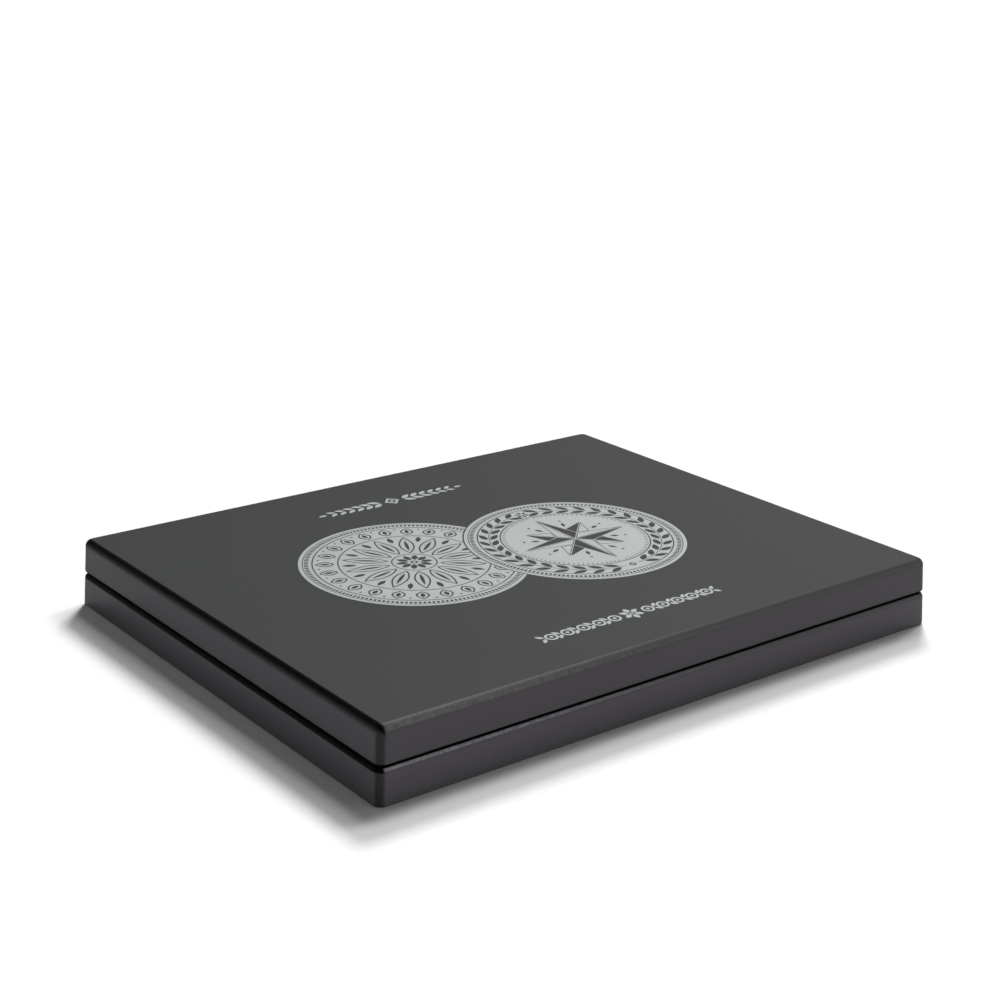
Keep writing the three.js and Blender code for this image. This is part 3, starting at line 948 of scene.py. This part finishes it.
def barrel_sector(inner, outer, degrees, low_x, high_x):
    """A bar bent round the hinge axis between two angles, from the rear towards the top."""
    start, end = (math.radians(d) for d in degrees)
    shape = bmesh.new()
    across = Vector((0, math.cos(start), math.sin(start)))
    centre = Vector((0, axis_y, axis_z))
    corners = [
        shape.verts.new(centre + across * radius + Vector((x, 0, 0)))
        for x, radius in ((low_x, inner), (high_x, inner), (high_x, outer), (low_x, outer))
    ]
    face = shape.faces.new(corners)
    bmesh.ops.spin(
        shape, geom=[face], cent=centre, axis=(1, 0, 0), angle=end - start, steps=sector_steps,
    )
    bmesh.ops.recalc_face_normals(shape, faces=shape.faces)
    return shape


def leaf_plate(name, seam_z, down):
    """The flat of a leaf, its two free corners rounded, about x = 0."""
    far_z = seam_z - down * leaf_thickness
    shape = solid_block(
        (-half_hinge, leaf_inner_y, min(seam_z, far_z)),
        (half_hinge, axis_y, max(seam_z, far_z)),
    )
    inner = edges_where(shape, lambda co: co.y < leaf_inner_y + nearly)
    round_edges(shape, upright_edges(inner), leaf_corner, leaf_corner_steps)
    return linked(name, finished_mesh(name, shape), drawn_nickel)


def bevelled(made, width, sharp_degrees=40):
    """Soft shading, with the sharp edges worn a little."""
    made.data.shade_smooth()
    bevel = made.modifiers.new("worn_edges", "BEVEL")
    bevel.width = width
    bevel.segments = wear_steps
    bevel.limit_method = "ANGLE"
    bevel.angle_limit = math.radians(sharp_degrees)
    bevel.harden_normals = True


def copied(name, mesh, place, turned_over=False):
    """A copy of a mesh moved to its place, or mirrored from base to lid about the hinge axis."""
    shape = bmesh.new()
    shape.from_mesh(mesh)
    if turned_over:
        bmesh.ops.scale(shape, verts=shape.verts, vec=(1, 1, -1))
        bmesh.ops.recalc_face_normals(shape, faces=shape.faces)
    bmesh.ops.translate(shape, verts=shape.verts, vec=place)
    return finished_mesh(name, shape)


outer_knuckles = [
    (-half_hinge, -half_knuckle - knuckle_gap), (half_knuckle + knuckle_gap, half_hinge),
]
bore = (-half_hinge - past, half_hinge + past)
base_leaf = leaf_plate("base_leaf", base_seam_z, 1)
swept = barrel_rod(-half_knuckle - knuckle_gap, half_knuckle + knuckle_gap, sweep_radius)
combined(base_leaf, "DIFFERENCE", [swept])
combined(base_leaf, "UNION", [barrel_rod(*ends_x, barrel_radius) for ends_x in outer_knuckles])
bar_inner = barrel_radius - bar_root
combined(base_leaf, "UNION", [
    barrel_sector(bar_inner, bar_radius, bar_degrees, *ends_x) for ends_x in outer_knuckles
])
stop_bar = barrel_sector(sweep_radius, bar_radius, bar_degrees, -half_hinge, half_hinge)
combined(base_leaf, "UNION", [stop_bar])
combined(base_leaf, "DIFFERENCE", [barrel_rod(*bore, bore_radius)])
lid_leaf = leaf_plate("lid_leaf", lid_seam_z, -1)
combined(lid_leaf, "DIFFERENCE", [
    barrel_rod(-half_hinge - past, -half_knuckle, sweep_radius),
    barrel_rod(half_knuckle, half_hinge + past, sweep_radius),
])
combined(lid_leaf, "UNION", [
    barrel_rod(-half_knuckle, half_knuckle, barrel_radius),
    barrel_sector(bar_inner, bar_radius, lug_degrees, -half_knuckle, half_knuckle),
])
combined(lid_leaf, "DIFFERENCE", [barrel_rod(*bore, bore_radius)])

# Hinge screws
# Small countersunk wood screws with a cross recess, two to a leaf, their heads just below the
# leaf's face.
screw_nickel = (0.34, 0.33, 0.31, 1)
turned_nickel = plated_steel("turned_nickel", screw_nickel, along=(900, 900, 3000), dullness=0.26)
head_radius = 1.8 * MM
head_rim = 0.15 * MM
head_height = 0.8 * MM
head_crown = 0.06 * MM
shank_radius = 1 * MM
screw_length = 7 * MM
tip_length = 1.6 * MM
hole_gap = 0.1 * MM
cross_reach = 1.15 * MM
cross_width = 0.5 * MM
cross_depth = 0.55 * MM
cross_taper = 0.55
screw_steps = 48
screw_wear = 0.04 * MM


def screw_outline(gap, above):
    """Radii and heights of the screw from its head's middle to its tip, grown by a gap."""
    return [
        (0, above + (0 if gap else head_crown)),
        (head_radius + gap, above),
        (head_radius + gap, -head_rim),
        (shank_radius + gap, -head_rim - head_height),
        (shank_radius + gap, tip_length - screw_length),
        (0, -screw_length - gap),
    ]


def turned_solid(outline):
    """An outline of radii and heights, spun into a closed solid."""
    shape = bmesh.new()
    verts = [shape.verts.new((radius, 0, z)) for radius, z in outline]
    edges = [shape.edges.new(pair) for pair in zip(verts, verts[1:])]
    bmesh.ops.spin(
        shape, geom=[*verts, *edges], cent=(0, 0, 0), axis=(0, 0, 1), angle=2 * math.pi,
        steps=screw_steps, use_merge=True,
    )
    bmesh.ops.remove_doubles(shape, verts=shape.verts, dist=nearly)
    bmesh.ops.recalc_face_normals(shape, faces=shape.faces)
    return shape


def cross_arm(quarter_turns):
    """One arm pair of the recess, narrower at its bottom."""
    shape = solid_block(
        (-cross_reach, -cross_width / 2, -cross_depth), (cross_reach, cross_width / 2, past),
    )
    foot = [v for v in shape.verts if v.co.z < 0]
    bmesh.ops.scale(shape, verts=foot, vec=(cross_taper, cross_taper, 1))
    turn = Matrix.Rotation(quarter_turns * math.pi / 2, 3, "Z")
    bmesh.ops.rotate(shape, verts=shape.verts, cent=(0, 0, 0), matrix=turn)
    return shape


screw = linked("screw", finished_mesh("screw", turned_solid(screw_outline(0, 0))), turned_nickel)
combined(screw, "DIFFERENCE", [cross_arm(0), cross_arm(1)])
screw_places = {}
for place in ("outer", "inner"):
    low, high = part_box(f"hinge_left_base_screw_{place}")
    screw_places[place] = Vector(((low.x + high.x) / 2, (low.y + high.y) / 2, high.z))
left_hinge_x = (pin_low.x + pin_high.x) / 2
countersink = finished_mesh("countersink", turned_solid(screw_outline(hole_gap, past)))
for middle in screw_places.values():
    place = middle - Vector((left_hinge_x, 0, 0))
    for leaf, turned_over in ((base_leaf, False), (lid_leaf, True)):
        if turned_over:
            place = Vector((place.x, place.y, 2 * axis_z - place.z))
        hole = bmesh.new()
        hole.from_mesh(copied("hole", countersink, place, turned_over))
        combined(leaf, "DIFFERENCE", [hole])


def rod_ends(shape, sharp_degrees=60):
    """The edges round both ends of a rod."""
    return [e for e in shape.edges if e.calc_face_angle(0) > math.radians(sharp_degrees)]


shape = barrel_rod(-half_hinge, half_hinge, (pin_high.z - pin_low.z) / 2)
round_edges(shape, rod_ends(shape), pin_end_round, pin_end_steps)
pin = finished_mesh("pin", shape)
for end in ends:
    low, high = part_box(f"hinge_{end}_pin")
    shift = Vector(((low.x + high.x) / 2, 0, 0))
    for part, mesh, body in (
        ("base_leaf", base_leaf.data, "base"),
        ("lid_leaf", lid_leaf.data, "lid"),
        ("pin", pin, "base"),
    ):
        name = f"{end}_hinge_{part}"
        piece = linked(name, copied(name, mesh, shift))
        repaint(piece, drawn_nickel)
        bevelled(piece, leaf_bevel)
        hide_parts(f"hinge_{end}_{part}")
        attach(piece, body)
    for body in ("base", "lid"):
        for place in screw_places:
            node = f"hinge_{end}_{body}_screw_{place}"
            low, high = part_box(node)
            middle = Vector(((low.x + high.x) / 2, (low.y + high.y) / 2, 0))
            middle.z = high.z if body == "base" else low.z
            name = f"{end}_{body}_screw_{place}"
            piece = linked(name, copied(name, screw.data, middle, body == "lid"))
            repaint(piece, turned_nickel)
            bevelled(piece, screw_wear)
            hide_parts(node)
            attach(piece, body)
for pattern in (base_leaf.data, lid_leaf.data, screw.data, pin, countersink):
    bpy.data.meshes.remove(pattern)

# Magnets
# Bright plated discs, pressed and glued into the holes in the front rails. Those of the lid
# lie over those of the base and keep the case shut.
magnet_bevel = 0.3 * MM
magnet_bevel_steps = 4
magnet_tint = (0.45, 0.45, 0.44, 1)
magnet_nickel = plated_steel("magnet_nickel", magnet_tint, along=(300, 300, 300), dullness=0.32)
for body in ("base", "lid"):
    for end in ends:
        node = f"{body}_magnet_{end}"
        low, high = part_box(node)
        middle = (low + high) / 2
        shape = solid_rod(
            (middle.x, middle.y, low.z), (middle.x, middle.y, high.z), (high.x - low.x) / 2,
        )
        round_edges(shape, rod_ends(shape), magnet_bevel, magnet_bevel_steps)
        name = f"{body}_catch_magnet_{end}"
        magnet = linked(name, finished_mesh(name, shape), magnet_nickel)
        smooth_shaded(magnet, sharp_degrees=40)
        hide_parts(node)
        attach(magnet, body)

# Print on the lid
# Silver-grey ink, screen printed on the lacquer: two roundels, one over the other, between two
# ornament bands. Their dark lines are the bare lacquer, left free of ink.
ink_thickness = 0.02 * MM
ink_tones = ((0.245, 0.262, 0.257, 1), (0.365, 0.388, 0.380, 1))
print_middle = Vector((-4, 0))
roundel_radius = 52.5
roundel_steps = 180
front_roundel = print_middle + Vector((40, -9))
rear_roundel = print_middle + Vector((-40, 9))
roundel_gap = 0.7
rear_band = print_middle + Vector((0, 85))
front_band = print_middle + Vector((0, -93.5))
fine_line = 0.4
bold_line = 0.6
rim_line_inset = 1.9
teeth_inset = 4.6
teeth = 156
border_radius = 46.2
fewest_steps = 10
step_density = 16  # a circle's steps, for each root of its radius
leaf_fullness = 0.85
leaf_swell = 0.12


def silver_ink():
    """Matt metallic ink, grainy and a little uneven."""
    finish = new_finish("silver_ink", Specular_IOR_Level=0.35, Roughness=0.5)
    place = finish.place()
    grain = finish.noise(place, scale=1300, detail=3, roughness=0.7)
    wash = finish.noise(place, scale=30, detail=2, roughness=0.5)
    finish.set(Base_Color=finish.blend(grain * 0.8 + wash * 0.2, *ink_tones))
    return finish.owner


def polar(radius, degrees):
    """A point of the print, at a distance and an angle from the middle."""
    angle = math.radians(degrees)
    return Vector((radius * math.cos(angle), radius * math.sin(angle)))


def circle(radius, middle=(0, 0), steps=None):
    """A round outline in the print's millimetres."""
    steps = steps or max(fewest_steps, round(step_density * math.sqrt(radius)))
    return [Vector(middle) + polar(radius, 360 * i / steps) for i in range(steps)]


def leaf(length, width, steps=9):
    """A pointed oval that starts at the origin and lies along X, fuller near its foot."""
    def half_width(t):
        fuller = 1 + leaf_swell - 2 * leaf_swell * t
        return width / 2 * math.sin(math.pi * t) ** leaf_fullness * fuller
    upper = [Vector((length * i / steps, half_width(i / steps))) for i in range(steps + 1)]
    lower = [Vector((p.x, -p.y)) for p in reversed(upper[1:-1])]
    return upper + lower


def put(outline, place, degrees=0.0):
    """An outline turned about the origin and moved to its place."""
    turn = Matrix.Rotation(math.radians(degrees), 2)
    return [Vector(place) + turn @ p for p in outline]


def around(outline, count, radius, start=90.0):
    """Copies of an outline round the middle, each turned outwards."""
    made = []
    for i in range(count):
        degrees = start + 360 * i / count
        made.append(put(outline, polar(radius, degrees), degrees))
    return made


def ring(radius, width):
    """A dark ring: its outer and its inner edge."""
    return [circle(radius + width / 2), circle(radius - width / 2)]


def drawn_in(outline, gap):
    """A convex outline with each side moved inwards by a gap."""
    area = sum(a.x * b.y - b.x * a.y for a, b in zip(outline, outline[1:] + outline[:1]))
    side = math.copysign(1, area)
    lines = []
    for a, b in zip(outline, outline[1:] + outline[:1]):
        along = (b - a).normalized()
        inward = Vector((-along.y, along.x)) * side
        lines.append((a + inward * gap, along))
    made = []
    for (p, d), (q, e) in zip(lines[-1:] + lines[:-1], lines):
        cross = d.x * e.y - d.y * e.x
        share = ((q - p).x * e.y - (q - p).y * e.x) / cross
        made.append(p + d * share)
    return made


def rim():
    """The edge of a roundel: the inked disc, a fine ring and a row of teeth."""
    tooth = [Vector(p) for p in ((0, -0.5), (2, -0.62), (2, 0.62), (0, 0.5))]
    outlines = [circle(roundel_radius, steps=roundel_steps)]
    outlines += ring(roundel_radius - rim_line_inset, fine_line)
    outlines += around(tooth, teeth, roundel_radius - teeth_inset)
    return outlines


def star_facets():
    """Facets of an eight-pointed wind rose, each with whether it is dark or open."""
    waist, short_point, long_point = 8.5, 24.5, 32
    tip_share = 0.26
    facets = []
    for turn in range(4):
        low = polar(waist, 90 * turn + 45)
        diagonal = polar(short_point, 90 * turn + 45)
        for degrees, dark in ((90 * turn + 90, True), (90 * turn, False)):
            tip = polar(long_point, degrees)
            facets.append(([Vector((0, 0)), low, tip], dark))
            facets.append(([low, low.lerp(tip, tip_share), diagonal], dark))
    return facets


def wreath():
    """Two sprays of laurel that start from a bead at the foot and meet at a small flower."""
    stem_radius = 40.7
    stem_half = 0.2
    stem_start, stem_sweep, stem_steps = 5, 165, 60
    pairs, first_pair, pair_sweep = 15, 10, 157
    spread, offset = 28, 0.8
    blade_length, blade_width = 7.7, 3.1
    bead_radii = (1.7, 0.8)
    petals, petal_length, petal_width, petal_steps, heart = 6, 3.3, 1.5, 6, 0.7
    blade = leaf(blade_length, blade_width)
    outlines = []
    for side in (1, -1):
        arc = [
            -90 + side * (stem_start + stem_sweep * i / stem_steps) for i in range(stem_steps + 1)
        ]
        outlines.append([polar(stem_radius + stem_half, d) for d in arc]
                        + [polar(stem_radius - stem_half, d) for d in reversed(arc)])
        for i in range(pairs):
            degrees = -90 + side * (first_pair + pair_sweep * i / (pairs - 1))
            onward = degrees + side * 90
            for lean in (spread, -spread):
                foot = polar(stem_radius + math.copysign(offset, lean), degrees)
                outlines.append(put(blade, foot, onward - side * lean))
    outlines += [circle(radius, polar(stem_radius, -90)) for radius in bead_radii]
    flower = around(leaf(petal_length, petal_width, petal_steps), petals, heart)
    return outlines + [put(petal, polar(stem_radius, 90)) for petal in flower]


def rose_roundel():
    """The front roundel: a wind rose in a laurel wreath."""
    dial_radius = 35.4
    facet_gap = 0.2
    stud_radius = 0.7
    lozenges_at, studs_at, dashes_at = 19.5, 25, 33
    points, dashes = 8, 96
    between_points = 180 / points
    outlines = rim() + ring(border_radius, bold_line) + ring(dial_radius, bold_line)
    for corners, dark in star_facets():
        facet = drawn_in(corners, facet_gap)
        outlines.append(facet)
        if not dark:
            outlines.append(drawn_in(facet, fine_line))
    lozenge = [Vector(p) for p in ((-2.8, 0), (0, -1.1), (2.8, 0), (0, 1.1))]
    outlines += around(lozenge, points, lozenges_at, between_points)
    outlines += around(circle(stud_radius), points, studs_at, between_points)
    dash = [Vector(p) for p in ((0, -0.25), (1.5, -0.25), (1.5, 0.25), (0, 0.25))]
    dial = around(dash, dashes, dashes_at)
    outlines += [outline for i, outline in enumerate(dial) if i % (dashes // 4)]
    return outlines + wreath()


def flower_roundel():
    """The rear roundel: a rosette of petals in a band of upright leaves."""
    band_radius, heart_radius = 34.6, 10.3
    bead_radii = (1.8, 0.9)
    leaves, petals, heart_petals = 24, 14, 10
    outlines = rim() + ring(border_radius, bold_line) + ring(band_radius, bold_line)
    for outline, count, foot_radius, start in (
        (leaf(8.8, 6.2, 12), leaves, 36.2, 90),
        (leaf(7.0, 4.6, 12), leaves, 37.1, 90),
        (leaf(4.8, 2.1), leaves, 38.2, 90),
        (circle(0.6), leaves, 43.7, 90 + 180 / leaves),
        (leaf(21.4, 7.2, 16), petals, 11.6, 90),
        (leaf(18.8, 5.7, 16), petals, 12.8, 90),
        (leaf(13.5, 1.7, 8), petals, 15, 90),
        (leaf(7.0, 2.5), petals, 26.3, 90 + 180 / petals),
        (leaf(6.0, 3.0), heart_petals, 2.8, 90),
    ):
        outlines += around(outline, count, foot_radius, start)
    return outlines + ring(heart_radius, bold_line) + [circle(radius) for radius in bead_radii]


def laurel_band():
    """A spray of leaves to either side of a lozenge: here the outlines are the ink."""
    pairs, first_pair, pitch = 6, 6.8, 5.2
    spread, offset, shrink = 32, 0.5, 0.05
    blade_length, blade_width, line = 6.6, 2.9, 1.2
    tip_length, tip_width, tip_at = 4.6, 2, 38.2
    lozenge = [Vector(p) for p in ((4.2, 0), (0, 4.6), (-4.2, 0), (0, -4.6))]
    outlines = [lozenge, drawn_in(lozenge, line), circle(1)]
    for side in (0, 180):
        for i in range(pairs):
            size = 1 - shrink * i
            for lean in (spread, -spread):
                foot = (first_pair + pitch * i, math.copysign(offset, lean))
                blade = put(leaf(blade_length * size, blade_width * size), foot, lean)
                outlines.append(put(blade, (0, 0), side))
        outlines.append(put(leaf(tip_length, tip_width), polar(tip_at, side), side))
    return outlines


def bead_band():
    """Rings and paired leaves in turn, out from a small flower: here the outlines are the ink."""
    beads, first_bead, pitch = 5, 9.4, 8.6
    leaf_shift, spread, offset = 3.5, 50, 0.4
    blade_length, blade_width = 4.2, 1.9
    petals, petal_length, petal_width, petal_foot, heart = 6, 4.4, 2.6, 1.2, 0.8
    bead_radii = (3.1, 2.0, 0.9)
    blade = leaf(blade_length, blade_width)
    outlines = [circle(heart), *around(leaf(petal_length, petal_width), petals, petal_foot)]
    for side in (0, 180):
        for i in range(beads):
            bead = first_bead + pitch * i
            outlines += [circle(radius, polar(bead, side)) for radius in bead_radii]
            for lean in (spread, -spread):
                foot = (bead + leaf_shift, math.copysign(offset, lean))
                outlines.append(put(put(blade, foot, lean), (0, 0), side))
    return outlines


ink = silver_ink()
film_height = 1  # in the print's millimetres, until the film is set on the lid
merge_distance = 0.001


def printed(name, outlines, middle, under=None):
    """Turns outlines into a film of ink on the lid, cut back from a roundel that lies over it."""
    curve = bpy.data.curves.new(name, "CURVE")
    curve.dimensions = "2D"
    curve.fill_mode = "BOTH"
    for outline in outlines:
        spline = curve.splines.new("POLY")
        spline.points.add(len(outline) - 1)
        for point, co in zip(spline.points, outline):
            point.co = (*(co + middle), 0, 1)
        spline.use_cyclic_u = True
    drawn = added(name, curve)
    bpy.context.view_layer.update()
    view = drawn.evaluated_get(bpy.context.evaluated_depsgraph_get())
    flat = bpy.data.meshes.new_from_object(view)
    bpy.data.curves.remove(curve)
    shape = bmesh.new()
    shape.from_mesh(flat)
    bpy.data.meshes.remove(flat)
    bmesh.ops.remove_doubles(shape, verts=shape.verts, dist=merge_distance)
    grown = bmesh.ops.extrude_face_region(shape, geom=shape.faces[:])
    top = only(bmesh.types.BMVert, grown)
    bmesh.ops.translate(shape, verts=top, vec=(0, 0, film_height))
    bmesh.ops.recalc_face_normals(shape, faces=shape.faces)
    film = linked(name, finished_mesh(name, shape), ink)
    if under is not None:
        foot, head = (*under, -film_height), (*under, 2 * film_height)
        cutter = solid_rod(foot, head, roundel_radius + roundel_gap, roundel_steps)
        combined(film, "DIFFERENCE", [cutter])
    for v in film.data.vertices:
        lift = ink_thickness if v.co.z > film_height / 2 else 0
        v.co = (v.co.x * MM, v.co.y * MM, lid_high.z + lift)
    film.data.shade_flat()
    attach(film, "lid")


printed("print_front_roundel", rose_roundel(), front_roundel)
printed("print_rear_roundel", flower_roundel(), rear_roundel, under=front_roundel)
printed("print_rear_band", laurel_band(), rear_band)
printed("print_front_band", bead_band(), front_band)
